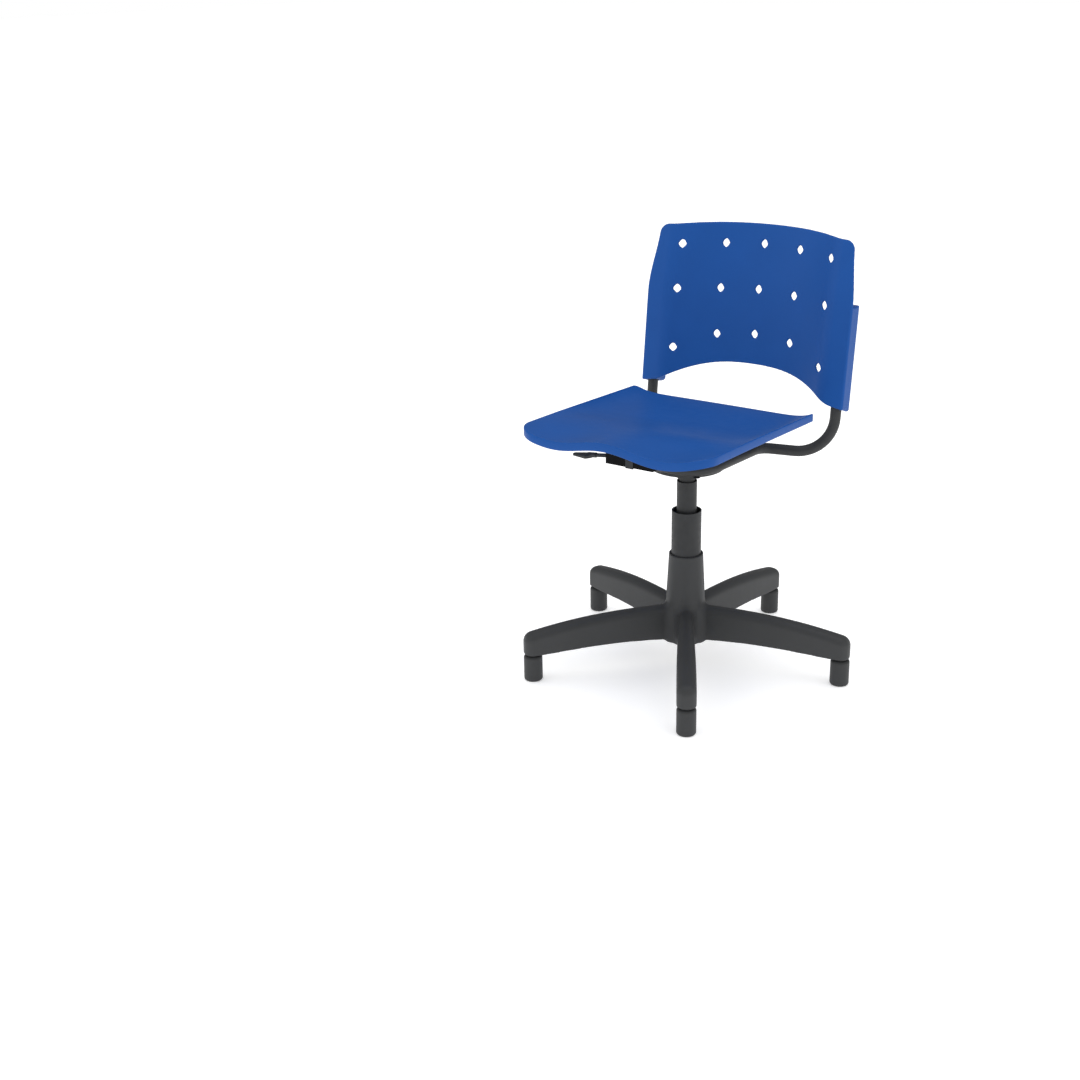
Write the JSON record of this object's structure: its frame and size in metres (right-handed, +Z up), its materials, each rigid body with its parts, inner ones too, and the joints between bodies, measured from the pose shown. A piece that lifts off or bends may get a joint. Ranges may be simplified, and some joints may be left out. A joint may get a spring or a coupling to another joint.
{
  "type": "student swivel chair",
  "caption": "Student swivel chair: moulded seat and back on a bent tube frame, gas-lift column with release lever, star base on glide feet.",
  "frame": {"origin": "on the floor, on the swivel axis, in the middle of the circle of feet", "axes": "+Z up along the swivel axis, -Y the way the sitter faces, +X to the sitter's left"},
  "size_m": [0.5656, 0.5574, 0.742],
  "materials": {
    "blue_plastic": "fine moulded grain, satin",
    "base_plastic": "moulded nylon, satin",
    "foot_plastic": "smooth moulded, satin",
    "frame_paint": "powder coat, satin",
    "black_plastic": "moulded, matt",
    "rubber": "matt",
    "steel": "zinc plated",
    "black_steel": "black oxide, satin",
    "brass": "turned"
  },
  "bodies": {
    "stand": {"star_base": "base_plastic", "glide_feet": "foot_plastic", "foot_stems": "frame_paint", "stand_tube": "frame_paint", "guide_bush": "black_plastic"},
    "rod": {"piston_rod": "steel", "piston": "brass", "bearing_washers": "steel", "bearing_balls": "steel", "bearing_cage": "brass", "retaining_clip": "steel"},
    "seat": {"pressure_tube": "frame_paint", "spring_seal": "rubber", "spring_sleeve": "frame_paint", "sleeve_rings": "black_plastic", "hub_plate": "frame_paint", "frame_tube": "frame_paint", "seat_spacers": "black_plastic", "seat_screws": "black_steel", "seat_inserts": "brass", "seat_shell": "blue_plastic", "back_shell": "blue_plastic", "back_screws": "black_steel", "lever_bracket": "frame_paint", "lever_blocks": "black_plastic", "lever_pin": "black_steel", "bracket_screws": "black_steel"},
    "lever": {"lever_rod": "frame_paint", "lever_paddle": "foot_plastic"},
    "button": {"valve_button": "steel"}
  },
  "joints": [
    {"name": "swivel", "type": "hinge", "parent": "stand", "child": "rod", "pos_m": [0, 0, 0.066], "axis": [0, 0, 1], "continuous": true},
    {"name": "lift", "type": "slide", "parent": "rod", "child": "seat", "axis": [0, 0, 1], "range_m": [-0.05, 0.06]},
    {"name": "lever_lift", "type": "hinge", "parent": "seat", "child": "lever", "pos_m": [-0.055, -0.089, 0.398], "axis": [0, 1, 0], "range_deg": [0, 4]},
    {"name": "button_press", "type": "slide", "parent": "seat", "child": "button", "axis": [0, 0, 1], "range_m": [-0.0039, 0]}
  ],
  "couplings": [
    {"joint": "button_press", "follows": "lever_lift", "m_per_rad": -0.055}
  ]
}
